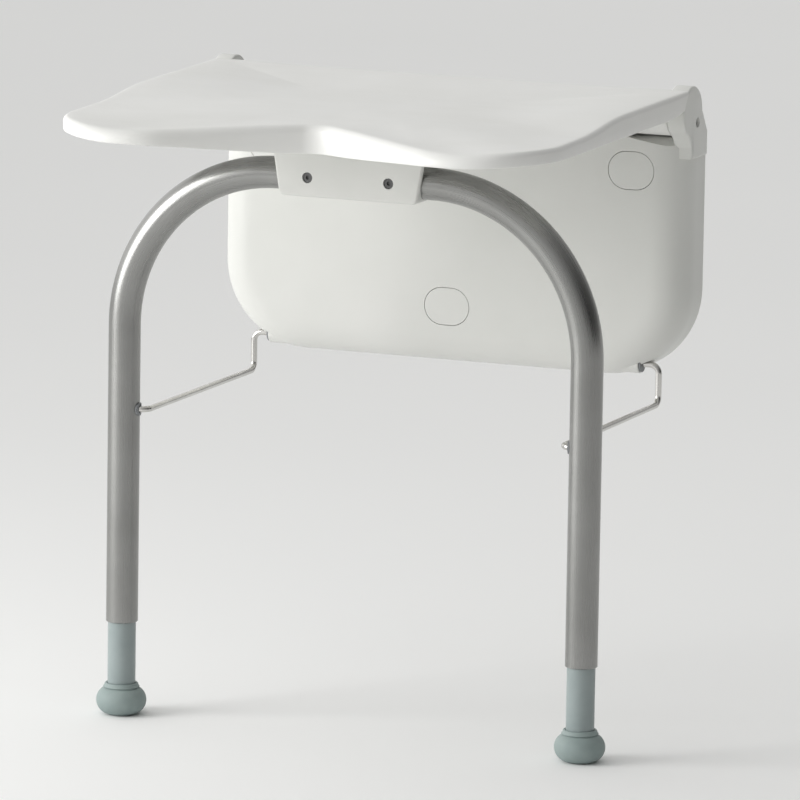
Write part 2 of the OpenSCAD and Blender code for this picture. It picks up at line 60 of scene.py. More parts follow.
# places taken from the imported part, all in millimetres
plateLow, plateHigh = boxMm("wall_plate")
seatLow, seatHigh = boxMm("seat_shell")
tubeLow, tubeHigh = boxMm("leg_tube")
houseLow, houseHigh = boxMm("clamp_housing")
capLow, capHigh = boxMm("cap_upper_right")
lowCapLow, lowCapHigh = boxMm("cap_lower")
pinLow, pinHigh = boxMm("hinge_pin_right")
bushLow, bushHigh = boxMm("hinge_bush_right")
wallY = plateHigh.y
seatTop = seatHigh.z
seatHalf = seatHigh.x
seatReach = wallY - seatLow.y
hingeY, hingeZ = [v / mm for v in joints["seat_fold"]["pos_m"][1:]]
legY, tubeZ = [v / mm for v in joints["leg_frame_pivot"]["pos_m"][1:]]
stayY, stayZ = [v / mm for v in joints["stay_swing"]["pos_m"][1:]]
tubeR = tubeHigh.z - tubeZ
legX = tubeHigh.x - tubeR
sharp = 0.01                # rim radius of a cutter, which is left square


def toObject(name, points, faces):
    mesh = bpy.data.meshes.new(name)
    mesh.from_pydata([(x * mm, y * mm, z * mm) for x, y, z in points], [], faces)
    made = bpy.data.objects.new(name, mesh)
    bpy.context.scene.collection.objects.link(made)
    bm = bmesh.new()
    bm.from_mesh(mesh)
    bmesh.ops.remove_doubles(bm, verts=bm.verts, dist=0.00001)
    bmesh.ops.recalc_face_normals(bm, faces=bm.faces)
    bm.to_mesh(mesh)
    bm.free()
    return made


def loft(name, rings, closeEnds=True):
    # rings are closed loops with the same number of points, skinned in order
    count = len(rings[0])
    points = [p for ring in rings for p in ring]
    faces = []
    for i in range(len(rings) - 1):
        for k in range(count):
            n = (k + 1) % count
            faces.append((i * count + k, i * count + n, (i + 1) * count + n, (i + 1) * count + k))
    if closeEnds:
        for start in (0, (len(rings) - 1) * count):
            middle = np.mean([points[start + k] for k in range(count)], axis=0)
            points.append(tuple(middle))
            for k in range(count):
                faces.append((start + k, start + (k + 1) % count, len(points) - 1))
    return toObject(name, points, faces)


def insetLoop(loop, amount):
    # moves a counter-clockwise closed 2-D loop inwards along its own normals
    pts = np.array(loop, float)
    ahead = np.roll(pts, -1, axis=0) - pts
    behind = pts - np.roll(pts, 1, axis=0)
    ahead /= np.maximum(np.linalg.norm(ahead, axis=1)[:, None], 1e-9)
    behind /= np.maximum(np.linalg.norm(behind, axis=1)[:, None], 1e-9)
    mean = ahead + behind
    mean /= np.maximum(np.linalg.norm(mean, axis=1)[:, None], 1e-9)
    turn = np.maximum((mean * ahead).sum(1), 0.5)
    normal = np.stack([-mean[:, 1], mean[:, 0]], axis=1)
    amount = np.broadcast_to(np.asarray(amount, float), (len(pts),))
    return pts + normal * (amount / turn)[:, None]


def areaOf(loop):
    p = np.array(loop, float)
    q = np.roll(p, -1, axis=0)
    return 0.5 * float((p[:, 0] * q[:, 1] - q[:, 0] * p[:, 1]).sum())


def roundedLoop(corners, radii, steps=8):
    # a polygon with its corners rounded, counter-clockwise
    pts = [np.array(c, float) for c in corners]
    if areaOf(pts) < 0:
        pts = pts[::-1]
        radii = list(radii)[::-1]
    out = []
    for i, here in enumerate(pts):
        toLast = pts[i - 1] - here
        toNext = pts[(i + 1) % len(pts)] - here
        lastLen = np.linalg.norm(toLast)
        nextLen = np.linalg.norm(toNext)
        toLast /= lastLen
        toNext /= nextLen
        r = radii[i]
        if r <= 0:
            out.append(tuple(here))
            continue
        half = math.acos(max(-1, min(1, float(toLast @ toNext)))) / 2
        reach = min(r / math.tan(half), lastLen * 0.49, nextLen * 0.49)
        r = reach * math.tan(half)
        bisect = toLast + toNext
        bisect /= np.linalg.norm(bisect)
        centre = here + bisect * (r / math.sin(half))
        a = here + toLast * reach - centre
        b = here + toNext * reach - centre
        a0 = math.atan2(a[1], a[0])
        a1 = math.atan2(b[1], b[0])
        sweep = (a1 - a0 + math.pi) % (2 * math.pi) - math.pi
        for s in range(steps + 1):
            t = a0 + sweep * s / steps
            out.append((centre[0] + r * math.cos(t), centre[1] + r * math.sin(t)))
    return out


def extruded(name, loop, along, start, end, edge=1.0, steps=4):
    # a 2-D loop pulled along one axis, with rounded rims at both ends
    if areaOf(loop) < 0:
        loop = loop[::-1]
    rings = []
    span = [(start, 1), (end, -1)]
    for place, way in span:
        turn = range(steps + 1) if way > 0 else range(steps, -1, -1)
        for s in turn:
            a = math.pi / 2 * s / steps
            cut = edge * (1 - math.sin(a))
            depth = place + way * edge * (1 - math.cos(a))
            flat = insetLoop(loop, cut) if cut > 1e-6 else np.array(loop, float)
            rings.append([place3(p, depth, along) for p in flat])
    return loft(name, rings)


def place3(p, depth, along):
    if along == "x":
        return (depth, p[0], p[1])
    if along == "y":
        return (p[0], depth, p[1])
    return (p[0], p[1], depth)


def circleLoop(cx, cy, r, count=48):
    return [(cx + r * math.cos(2 * math.pi * k / count), cy + r * math.sin(2 * math.pi * k / count))
            for k in range(count)]


def revolved(name, profile, cx, cy, count=96):
    # profile is (radius, height) from the bottom of the axis to its top
    rings = []
    for r, z in profile:
        rings.append([(x, y, z) for x, y in circleLoop(cx, cy, r, count)])
    return loft(name, rings)


def bake(piece):
    # puts the piece's modifiers into its mesh
    depsgraph = bpy.context.evaluated_depsgraph_get()
    mesh = bpy.data.meshes.new_from_object(piece.evaluated_get(depsgraph), depsgraph=depsgraph)
    old = piece.data
    piece.modifiers.clear()
    piece.data = mesh
    bpy.data.meshes.remove(old)


def combine(base, others, how):
    for other in others:
        cut = base.modifiers.new("cut", "BOOLEAN")
        cut.operation = how
        cut.solver = "MANIFOLD"
        cut.object = other
        bake(base)
        mesh = other.data
        bpy.data.objects.remove(other)
        bpy.data.meshes.remove(mesh)
    return base


def joined(name, parts):
    # several closed solids kept in one object
    bm = bmesh.new()
    for part in parts:
        bm.from_mesh(part.data)
        mesh = part.data
        bpy.data.objects.remove(part)
        bpy.data.meshes.remove(mesh)
    mesh = bpy.data.meshes.new(name)
    bm.to_mesh(mesh)
    bm.free()
    made = bpy.data.objects.new(name, mesh)
    bpy.context.scene.collection.objects.link(made)
    return made


def mirrored(piece, name):
    mesh = piece.data.copy()
    mesh.transform(Matrix.Scale(-1, 4, (1, 0, 0)))
    mesh.flip_normals()
    made = bpy.data.objects.new(name, mesh)
    bpy.context.scene.collection.objects.link(made)
    return made


def smoothEdges(piece, degrees=32):
    bm = bmesh.new()
    bm.from_mesh(piece.data)
    limit = math.radians(degrees)
    for face in bm.faces:
        face.smooth = True
    for edge in bm.edges:
        edge.smooth = len(edge.link_faces) == 2 and edge.calc_face_angle(0) < limit
    bm.to_mesh(piece.data)
    bm.free()


def finishPiece(piece, body, material, replaces=(), degrees=32):
    smoothEdges(piece, degrees)
    piece.data.materials.clear()
    piece.data.materials.append(material)
    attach(piece, body)
    if replaces:
        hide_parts(*replaces)
    return piece


def newMaterial(name):
    material = bpy.data.materials.new(name)
    material.use_nodes = True
    tree = material.node_tree
    shader = tree.nodes["Principled BSDF"]
    return material, tree, shader


def noiseAt(tree, vector, scale, detail=3.0, rough=0.5):
    noise = tree.nodes.new("ShaderNodeTexNoise")
    noise.inputs["Scale"].default_value = scale
    noise.inputs["Detail"].default_value = detail
    noise.inputs["Roughness"].default_value = rough
    tree.links.new(vector, noise.inputs["Vector"])
    return noise.outputs["Fac"]


def stretched(tree, vector, scale):
    mapping = tree.nodes.new("ShaderNodeMapping")
    mapping.inputs["Scale"].default_value = scale
    tree.links.new(vector, mapping.inputs["Vector"])
    return mapping.outputs["Vector"]


def spread(tree, value, low, high, fromLow=0.3, fromHigh=0.7):
    ranged = tree.nodes.new("ShaderNodeMapRange")
    ranged.inputs["From Min"].default_value = fromLow
    ranged.inputs["From Max"].default_value = fromHigh
    ranged.inputs["To Min"].default_value = low
    ranged.inputs["To Max"].default_value = high
    tree.links.new(value, ranged.inputs["Value"])
    return ranged.outputs["Result"]


def mixed(tree, amount, first, second):
    mix = tree.nodes.new("ShaderNodeMix")
    mix.data_type = "RGBA"
    tree.links.new(amount, mix.inputs["Factor"])
    mix.inputs["A"].default_value = (*first, 1)
    mix.inputs["B"].default_value = (*second, 1)
    return mix.outputs["Result"]


def bumped(tree, height, distance, strength=1.0, under=None):
    bump = tree.nodes.new("ShaderNodeBump")
    bump.inputs["Distance"].default_value = distance
    bump.inputs["Strength"].default_value = strength
    tree.links.new(height, bump.inputs["Height"])
    if under is not None:
        tree.links.new(under, bump.inputs["Normal"])
    return bump.outputs["Normal"]


def objectPlace(tree):
    return tree.nodes.new("ShaderNodeTexCoord").outputs["Object"]


def mouldedPlastic(name, look):
    # satin moulded plastic: cloudy tint, fine spark texture, faint flow waves and rub marks
    material, tree, shader = newMaterial(name)
    place = objectPlace(tree)
    cloud = noiseAt(tree, place, look["cloudScale"], 4)
    colour = mixed(tree, spread(tree, cloud, 0, 1), look["tint"], look["tintTwo"])
    tree.links.new(colour, shader.inputs["Base Color"])
    rub = noiseAt(tree, stretched(tree, place, look["rubStretch"]), look["rubScale"], 5, 0.65)
    tree.links.new(spread(tree, rub, look["roughLow"], look["roughHigh"]), shader.inputs["Roughness"])
    grain = noiseAt(tree, place, look["grainScale"], 2)
    wave = noiseAt(tree, place, look["waveScale"], 2)
    waved = bumped(tree, wave, look["waveDepth"])
    grained = bumped(tree, grain, look["grainDepth"], look["grainStrength"], waved)
    tree.links.new(grained, shader.inputs["Normal"])
    shader.inputs["IOR"].default_value = 1.49
    shader.inputs["Specular IOR Level"].default_value = look["specular"]
    return material


def brushedMetal(name, look, uvMaps=None):
    # satin metal with lengthwise drawing lines; a pipe carries its own round-and-along maps
    material, tree, shader = newMaterial(name)
    if uvMaps:
        around = tree.nodes.new("ShaderNodeUVMap")
        around.uv_map = uvMaps[0]
        along = tree.nodes.new("ShaderNodeUVMap")
        along.uv_map = uvMaps[1]
        split = tree.nodes.new("ShaderNodeSeparateXYZ")
        tree.links.new(around.outputs["UV"], split.inputs["Vector"])
        splitAlong = tree.nodes.new("ShaderNodeSeparateXYZ")
        tree.links.new(along.outputs["UV"], splitAlong.inputs["Vector"])
        join = tree.nodes.new("ShaderNodeCombineXYZ")
        tree.links.new(split.outputs["X"], join.inputs["X"])
        tree.links.new(split.outputs["Y"], join.inputs["Y"])
        tree.links.new(splitAlong.outputs["X"], join.inputs["Z"])
        place = join.outputs["Vector"]
    else:
        place = objectPlace(tree)
    lines = noiseAt(tree, stretched(tree, place, look["lineStretch"]), look["lineScale"], 4, 0.6)
    blotch = noiseAt(tree, place, look["blotchScale"], 4)
    colour = mixed(tree, spread(tree, blotch, 0, 1), look["tint"], look["tintTwo"])
    tree.links.new(colour, shader.inputs["Base Color"])
    shader.inputs["Metallic"].default_value = 1.0
    tree.links.new(spread(tree, lines, look["roughLow"], look["roughHigh"]), shader.inputs["Roughness"])
    grit = noiseAt(tree, place, look["gritScale"], 2)
    gritted = bumped(tree, grit, look["gritDepth"])
    tree.links.new(bumped(tree, lines, look["lineDepth"], 1.0, gritted), shader.inputs["Normal"])
    return material


seatLook = {
    "tint": (0.800, 0.800, 0.775), "tintTwo": (0.845, 0.845, 0.828), "cloudScale": 9,
    "roughLow": 0.36, "roughHigh": 0.47, "rubStretch": (1, 3, 1), "rubScale": 26,
    "grainScale": 1300, "grainDepth": 0.00006, "grainStrength": 0.8,
    "waveScale": 16, "waveDepth": 0.0003, "specular": 0.5,
}
# the plate's tint is the seat's off-white plastic darkened by painted shade, standing in for the seat's
# shadow over the plate
platePaintedShadeLook = dict(seatLook, tint=(0.695, 0.70, 0.67), tintTwo=(0.74, 0.74, 0.715), cloudScale=7,
                 roughLow=0.34, roughHigh=0.44, rubScale=18)
# the housing's tint is the seat's off-white plastic darkened further by painted shade, standing in for the
# seat's shadow on it
housePaintedShadeLook = dict(seatLook, tint=(0.665, 0.67, 0.64), tintTwo=(0.71, 0.71, 0.685), cloudScale=16)
innerLook = {
    "tint": (0.28, 0.33, 0.33), "tintTwo": (0.33, 0.38, 0.38), "cloudScale": 40,
    "roughLow": 0.33, "roughHigh": 0.45, "rubStretch": (6, 6, 0.6), "rubScale": 70,
    "grainScale": 1800, "grainDepth": 0.00004, "grainStrength": 0.7,
    "waveScale": 50, "waveDepth": 0.0001, "specular": 0.45,
}
footLook = {
    "tint": (0.265, 0.325, 0.32), "tintTwo": (0.31, 0.37, 0.36), "cloudScale": 60,
    "roughLow": 0.50, "roughHigh": 0.64, "rubStretch": (1, 1, 2), "rubScale": 90,
    "grainScale": 2200, "grainDepth": 0.00008, "grainStrength": 0.9,
    "waveScale": 60, "waveDepth": 0.00015, "specular": 0.35,
}
bushLook = dict(footLook, tint=(0.22, 0.23, 0.24), tintTwo=(0.27, 0.28, 0.29), roughLow=0.4, roughHigh=0.5)
tubeLook = {
    "tint": (0.29, 0.29, 0.282), "tintTwo": (0.335, 0.335, 0.327), "blotchScale": 18,
    "lineStretch": (26, 26, 0.35), "lineScale": 42, "lineDepth": 0.00004,
    "roughLow": 0.24, "roughHigh": 0.34, "gritScale": 3200, "gritDepth": 0.00002,
}
stayLook = {
    "tint": (0.58, 0.57, 0.55), "tintTwo": (0.66, 0.65, 0.63), "blotchScale": 40,
    "lineStretch": (3, 3, 3), "lineScale": 220, "lineDepth": 0.00001,
    "roughLow": 0.12, "roughHigh": 0.22, "gritScale": 2500, "gritDepth": 0.00001,
}
darkLook = dict(stayLook, tint=(0.10, 0.10, 0.10), tintTwo=(0.14, 0.14, 0.14), roughLow=0.35, roughHigh=0.5)
screwLook = dict(stayLook, tint=(0.52, 0.52, 0.52), tintTwo=(0.60, 0.60, 0.60), roughLow=0.22, roughHigh=0.36)

seatPlastic = mouldedPlastic("seatPlastic", seatLook)
# the material of the plate and its caps carries painted shade in its darker tint
platePaintedShadePlastic = mouldedPlastic("platePaintedShadePlastic", platePaintedShadeLook)
# the housing's material carries painted shade in its darker tint
housePaintedShadePlastic = mouldedPlastic("housePaintedShadePlastic", housePaintedShadeLook)
innerPlastic = mouldedPlastic("innerLegPlastic", innerLook)
footRubber = mouldedPlastic("footRubber", footLook)
bushPlastic = mouldedPlastic("bushPlastic", bushLook)
legAluminium = brushedMetal("legAluminium", tubeLook, ("pipeRound", "pipeAlong"))
staySteel = brushedMetal("staySteel", stayLook)
screwSteel = brushedMetal("screwSteel", screwLook)
darkSteel = brushedMetal("darkSteel", darkLook)
print("materials made")


seatShape = {
    "lobeR": 65, "recessR": 22, "recessDepth": 70,   # plan of the front edge
    "rearGap": 44, "wall": 4, "skin": 6,
    "middle": -3.0,        # the dished middle, from the part's flat top
    "sideTop": -6.0, "rearSideTop": 3.0, "lobeTop": -9.0, "recessTop": -5.0, "rearTop": 2.0,
    "sideCurve": ([44, 120, 190, 215, 240, 262, 317], [3.0, 2.3, 1.6, 0.2, -2.8, -4.9, -6.0]),
    "sideBottom": -17.0, "lobeBottom": -19.5, "recessBottom": -27.0, "rearBottom": -7.5,
    "sideRoll": 4.0, "lobeRoll": 9.0, "recessRoll": 6.5, "rearRoll": 2.5,
    "dishShare": 0.62,     # how far in from the edge the dish reaches
    "sweep": ([46.9, 56, 62, 69.5, 83], [6.4, 4.6, 3.5, 2.2, 0]),   # rise of the apron round the ear
    "coverSink": 3, "apronRise": 1.6, "rearBand": 2.9, "passes": 5,
}


def smoothStep(low, high, value):
    t = min(1.0, max(0.0, (value - low) / (high - low)))
    return t * t * (3 - 2 * t)


def seatHalfOutline():
    # right half as x and distance from the wall
    s = seatShape
    lobeX = seatHalf - s["lobeR"]
    lobeD = seatReach - s["lobeR"]
    recessD = seatReach - s["recessDepth"]
    reach = s["lobeR"] + s["recessR"]
    fall = s["recessDepth"] - reach
    flank = math.asin(reach / math.hypot(lobeX, fall)) + math.atan2(fall, lobeX)
    marks = []
    # every mark is x and distance from the wall
    arcSteps = 12
    for k in range(arcSteps + 1):
        a = flank * k / arcSteps
        marks.append((s["recessR"] * math.sin(a), recessD + s["recessR"] - s["recessR"] * math.cos(a)))
    start = marks[-1]
    end = (lobeX - s["lobeR"] * math.sin(flank), lobeD + s["lobeR"] * math.cos(flank))
    straightSteps = 22
    for k in range(1, straightSteps):
        t = k / straightSteps
        marks.append((start[0] + (end[0] - start[0]) * t, start[1] + (end[1] - start[1]) * t))
    lobeSteps = 40
    for k in range(lobeSteps + 1):
        a = -flank + (math.pi / 2 + flank) * k / lobeSteps
        marks.append((lobeX + s["lobeR"] * math.sin(a), lobeD + s["lobeR"] * math.cos(a)))
    sideSteps = 54
    rear = s["rearGap"]
    for k in range(1, sideSteps + 1):
        marks.append((seatHalf, lobeD + (rear + 3 - lobeD) * k / sideSteps))
    marks.append((seatHalf - 0.9, rear + 0.9))
    marks.append((seatHalf - 3, rear))
    rearSteps = 44
    for k in range(1, rearSteps + 1):
        marks.append(((seatHalf - 3) * (1 - k / rearSteps), rear))
    return marks


def edgeProfile(x, d):
    # top height, bottom height and roll radius of the seat's edge at a point of the outline
    s = seatShape
    lobeX = seatHalf - s["lobeR"]
    ax = abs(x)
    if d <= s["rearGap"] + s["rearBand"]:
        corner = smoothStep(seatHalf * 0.55, seatHalf * 0.98, ax)
        top = s["rearTop"] + (s["rearSideTop"] - s["rearTop"]) * corner
        return top, s["rearBottom"], s["rearRoll"]
    if ax >= seatHalf - 0.01:
        top = float(np.interp(d, *s["sideCurve"]))
        bottom = s["sideBottom"] + s["apronRise"] * smoothStep(seatReach - s["lobeR"], 90, d)
        bottom = bottom + np.interp(d, *s["sweep"]) * 0.95
        roll = s["sideRoll"] + (s["rearRoll"] - s["sideRoll"]) * smoothStep(80, s["rearGap"], d)
        return top, bottom, roll
    if ax >= lobeX:
        t = smoothStep(lobeX, seatHalf, ax)
        return (s["lobeTop"] + (s["sideTop"] - s["lobeTop"]) * t,
                s["lobeBottom"] + (s["sideBottom"] - s["lobeBottom"]) * t,
                s["lobeRoll"] + (s["sideRoll"] - s["lobeRoll"]) * t)
    t = smoothStep(0, lobeX, ax)
    return (s["recessTop"] + (s["lobeTop"] - s["recessTop"]) * t,
            s["recessBottom"] + (s["lobeBottom"] - s["recessBottom"]) * t,
            s["recessRoll"] + (s["lobeRoll"] - s["recessRoll"]) * t)


def seatOutline():
    half = seatHalfOutline()
    loop = list(half) + [(-x, d) for x, d in half[-2:0:-1]]
    flat = [(x, wallY - d) for x, d in loop]
    if areaOf(flat) < 0:
        loop = loop[::-1]
        flat = flat[::-1]
    return loop, np.array(flat)


def buildSeatShell(coverOnly=False):
    # the seat's moulded shell, or a solid that covers it from just under its top face
    s = seatShape
    loop, flat = seatOutline()
    profile = np.array([edgeProfile(x, d) for x, d in loop])
    top = seatTop + profile[:, 0]
    bottom = seatTop + profile[:, 1]
    roll = profile[:, 2]
    # smooth the heights along the edge, so that no step shows
    for _ in range(s["passes"]):
        top = (np.roll(top, 1) + top * 2 + np.roll(top, -1)) / 4
        bottom = (np.roll(bottom, 1) + bottom * 2 + np.roll(bottom, -1)) / 4
        roll = (np.roll(roll, 1) + roll * 2 + np.roll(roll, -1)) / 4
    centre = np.array([0, wallY - (s["rearGap"] + seatReach) / 2 + 20])
    middle = seatTop + s["middle"]

    def ring(inset, z):
        pts = insetLoop(flat, inset)
        z = np.broadcast_to(np.asarray(z, float), (len(flat),))
        return [(p[0], p[1], h) for p, h in zip(pts, z)]

    def face(edgeInset, drop, edgeTop, shares):
        out = []
        start = insetLoop(flat, edgeInset)
        for share in shares:
            keep = 1 - smoothStep(0, s["dishShare"], share)
            pts = start + (centre - start) * share
            z = middle + (edgeTop - middle) * keep - drop
            out.append([(p[0], p[1], h) for p, h in zip(pts, z)])
        return out

    wall = s["wall"]
    if coverOnly:
        sunk = s["coverSink"]
        cover = [ring(-wall, seatTop + 20), ring(-wall, top - roll - sunk)]
        cover += face(roll, sunk, top, [0, 0.05, 0.12, 0.2, 0.3, 0.4, 0.5, 0.62, 0.8, 0.95])
        return loft("cover", cover)
    shares = [0.02, 0.05, 0.09, 0.14, 0.2, 0.27, 0.34, 0.42, 0.5, 0.58, 0.66, 0.75, 0.84, 0.92, 0.97]
    inner = wall + np.maximum(roll - wall, 0) * 0.6 + 1.5
    rings = []
    under = face(inner, s["skin"], top, shares)
    rings.extend(under[::-1])
    innerTop = top - s["skin"]
    innerTop = np.maximum(innerTop, bottom + 1.2)
    rings.append(ring(inner, innerTop))
    rings.append(ring(wall + (inner - wall) * 0.3, innerTop - (inner - wall) * 0.3))
    rings.append(ring(wall, np.maximum(innerTop - (inner - wall), bottom + 0.9)))
    rings.append(ring(wall - 0.2, bottom + 0.6))
    rings.append(ring(wall - 0.9, bottom))
    rings.append(ring(1.1, bottom))
    rings.append(ring(0.3, bottom + 0.4))
    rings.append(ring(0, bottom + 1.2))
    rollTop = np.minimum(roll, (top - bottom) * 0.72)
    rings.append(ring(0, (bottom + 1.2) * 0.5 + (top - rollTop) * 0.5))
    for k in range(9):
        a = math.pi / 2 * k / 8
        rings.append(ring(roll * (1 - math.cos(a)), top - rollTop * (1 - math.sin(a))))
    rings.extend(face(roll, 0, top, shares))
    return loft("seatShell", rings)


ribShape = {"thick": 2.5, "columns": 7, "rows": 5, "rowPitch": 56, "bottom": -15.0, "top": -7.0}


def insideSpans(values, inside):
    spans = []
    start = None
    for v in values:
        if inside(v) and start is None:
            start = v
        if not inside(v) and start is not None:
            spans.append((start, last))
            start = None
        last = v
    if start is not None:
        spans.append((start, last))
    return spans


def pointInLoop(loop, x, y):
    hit = False
    for i in range(len(loop)):
        x1, y1 = loop[i - 1]
        x2, y2 = loop[i]
        if (y1 > y) != (y2 > y) and x < (x2 - x1) * (y - y1) / (y2 - y1) + x1:
            hit = not hit
    return hit


def slab(name, x0, x1, y0, y1, z0, z1, edge=0.5):
    loop = roundedLoop([(x0, y0), (x1, y0), (x1, y1), (x0, y1)], [edge] * 4, 3)
    return extruded(name, loop, "z", z0, z1, edge, 3)


def buildRibs():
    r = ribShape
    _, flat = seatOutline()
    loop = [tuple(p) for p in insetLoop(flat, seatShape["wall"] * 0.6)]
    z0 = seatTop + r["bottom"]
    z1 = seatTop + r["top"]
    half = r["thick"] / 2
    parts = []
    for k in range(-(r["columns"] // 2), r["columns"] // 2 + 1):
        x = k * 2 * seatHalf / (r["columns"] + 1)
        for a, b in insideSpans(np.arange(seatLow.y, wallY, 1.0), lambda y: pointInLoop(loop, x + 0.01, y)):
            parts.append(slab("rib", x - half, x + half, a, b, z0, z1))
    for k in range(1, r["rows"] + 1):
        y = wallY - seatShape["rearGap"] - k * r["rowPitch"]
        for a, b in insideSpans(np.arange(-seatHalf, seatHalf, 1.0), lambda x: pointInLoop(loop, x, y)):
            parts.append(slab("rib", a, b, y - half, y + half, z0, z1))
    ribs = combine(parts[0], parts[1:], "UNION")
    return [combine(ribs, [buildSeatShell(True)], "DIFFERENCE")]


knuckleShape = {"radius": 12, "web": 10, "edge": 1.2, "topDrop": 5.5, "turn": 200, "room": 0.05}


def buildKnuckle():
    # a hinge barrel on a web that comes down from the seat's rear edge
    k = knuckleShape
    r = k["radius"]
    top = seatTop - k["topDrop"]
    rearY = wallY - seatShape["rearGap"]
    webFront = rearY - k["web"]
    low = hingeZ - r
    loop = []
    for s in range(25):
        a = math.radians(90 - k["turn"] * s / 24)
        loop.append((hingeY + r * math.cos(a), hingeZ + r * math.sin(a)))
    loop += [(webFront + 9, low + 3), (webFront + 3, low + 9), (webFront, low + 14), (webFront, top)]
    loop += [(rearY - 0.5, top), (rearY - 0.5, hingeZ + r + 2.5)]
    loop += [(rearY + 1.2, hingeZ + r + 0.4), (hingeY - 6, hingeZ + r)]
    body = extruded("knuckle", loop, "x", bushLow.x, bushHigh.x, k["edge"])
    hole = circleLoop(hingeY, hingeZ, (bushHigh.z - bushLow.z) / 2 + k["room"])
    bore = extruded("bore", hole, "x", bushLow.x - 2, bushHigh.x + 2, sharp)
    return combine(body, [bore], "DIFFERENCE")


saddleShape = {"halfLength": 56, "screwX": 48, "screwInset": 6, "bossR": 6, "sideGap": 0.4, "topDrop": 6,
               "skirt": 5.5, "edge": 0.4}


def screwPlaces():
    inset = saddleShape["screwInset"]
    rows = (houseLow.y + inset, houseHigh.y - inset)
    return [(side * saddleShape["screwX"], y) for side in (-1, 1) for y in rows]


def buildSaddle():
    # closes the clamp over the leg tube from above
    s = saddleShape
    half = tubeR - s["sideGap"]
    top = seatTop - s["topDrop"]
    loop = [(legY - half, top), (legY - half, tubeZ + s["skirt"])]
    for k in range(13):
        a = math.radians(150 - 120 * k / 12)
        loop.append((legY + (tubeR + 0.1) * math.cos(a), tubeZ + (tubeR + 0.1) * math.sin(a)))
    loop += [(legY + half, tubeZ + s["skirt"]), (legY + half, top)]
    parts = [extruded("saddle", loop, "x", -s["halfLength"], s["halfLength"], s["edge"], 2)]
    r = s["bossR"]
    boss = [(r - 0.6, houseHigh.z), (r, houseHigh.z + 0.6), (r, top - 1), (r + 2, top + 0.5)]
    for x, y in screwPlaces():
        parts.append(revolved("boss", boss, x, y, 32))
    return parts


earShape = {"radius": 20.5, "thick": 15, "out": 10, "up": 9, "neckFront": 38, "neckZ": 448, "neckDeep": 8,
            "neckBend": 1.6, "rearIn": 4, "rearDrop": 18, "edge": 1.6, "proud": 2, "room": 0.7}


def buildSeat():
    shell = buildSeatShell()
    reach = math.hypot(earShape["out"], earShape["up"]) + earShape["radius"] + earShape["room"]
    cutters = []
    for side in (-1, 1):
        x0, x1 = sorted((side * (bushHigh.x + 0.2), side * (seatHalf + 2)))
        cutters.append(extruded("relief", circleLoop(hingeY, hingeZ, reach, 96), "x", x0, x1, sharp))
    combine(shell, cutters, "DIFFERENCE")
    knuckle = buildKnuckle()
    parts = [shell, knuckle, mirrored(knuckle, "knuckleLeft")] + buildRibs() + buildSaddle()
    seat = joined("seatMoulding", parts)
    return finishPiece(seat, "seat", seatPlastic, ["seat_shell"], 40)


buildSeat()
print("seat made")


housingShape = {"taper": 9, "corner": 4.5, "edge": 2.2, "flange": 4, "recessR": 4.2, "recessDeep": 3,
                "span": 67, "frontWall": 3.5, "guideR": 2.46, "screwR": 2.3, "tubeRoom": 0.12}


def buildHousing():
    h = housingShape
    frontY = legY - tubeR - h["frontWall"]
    backY = legY + tubeR + h["frontWall"]
    half = houseHigh.x
    low = half - h["taper"]
    body = roundedLoop([(-low, houseLow.z), (low, houseLow.z), (half, houseHigh.z), (-half, houseHigh.z)],
                       [h["corner"], h["corner"], 1.5, 1.5], 10)
    block = extruded("housing", body, "y", frontY, backY, h["edge"], 6)
    flangeX = saddleShape["screwX"] + saddleShape["bossR"]
    flange = roundedLoop([(-flangeX, houseLow.y), (flangeX, houseLow.y), (flangeX, houseHigh.y),
                          (-flangeX, houseHigh.y)], [saddleShape["bossR"]] * 4, 8)
    combine(block, [extruded("flange", flange, "z", houseHigh.z - h["flange"], houseHigh.z, 0.8)], "UNION")
    r = tubeR + h["tubeRoom"]
    trough = [(legY - r, houseHigh.z + 5), (legY - r, tubeZ)]
    for k in range(1, 24):
        a = math.pi + math.pi * k / 24
        trough.append((legY + r * math.cos(a), tubeZ + r * math.sin(a)))
    trough += [(legY + r, tubeZ), (legY + r, houseHigh.z + 5)]
    cutters = [extruded("trough", trough, "x", -half - 5, half + 5, sharp)]
    for side in (-1, 1):
        x = side * h["span"] / 2
        recess = circleLoop(x, tubeZ, h["recessR"])
        bore = circleLoop(x, tubeZ, h["guideR"])
        cutters.append(extruded("guideHole", recess, "y", frontY - 2, frontY + h["recessDeep"], sharp))
        cutters.append(extruded("guideBore", bore, "y", frontY + 1, legY - 6, sharp))
    for x, y in screwPlaces():
        hole = circleLoop(x, y, h["screwR"], 24)
        cutters.append(extruded("screwHole", hole, "z", houseHigh.z - 8, houseHigh.z + 2, sharp))
    combine(block, cutters, "DIFFERENCE")
    block.name = "clampHousing"
    return finishPiece(block, "seat", housePaintedShadePlastic, ["clamp_housing"], 34)


buildHousing()
print("clamp housing made")


plateShape = {
    "cornerR": 70, "topR": 36, "wall": 3.5, "crownInset": 30, "edgeDepth": 20, "crown": 1.2,
    "pad": 6, "pocketWall": 2.5, "capGap": 0.35, "barrelR": 21.4, "bossR": 7.5,
    "shelfInner": 455.0, "shelfOuter": 446.5, "flange": 1.5, "wireRoom": 13.5,
    "scoopTop": 455.5, "scoopBack": 33, "thick": 46.0, "topDrop": 7, "ribX": 79.2, "ribT": 2.5,
    "slotGap": 0.7, "screwR": 3.25, "bushR": 4.12, "insideDepth": 43.5, "pinRoom": 0.06,
}
plateHalf = plateHigh.x if plateHigh.x < seatHalf - 3 else seatHalf - 4


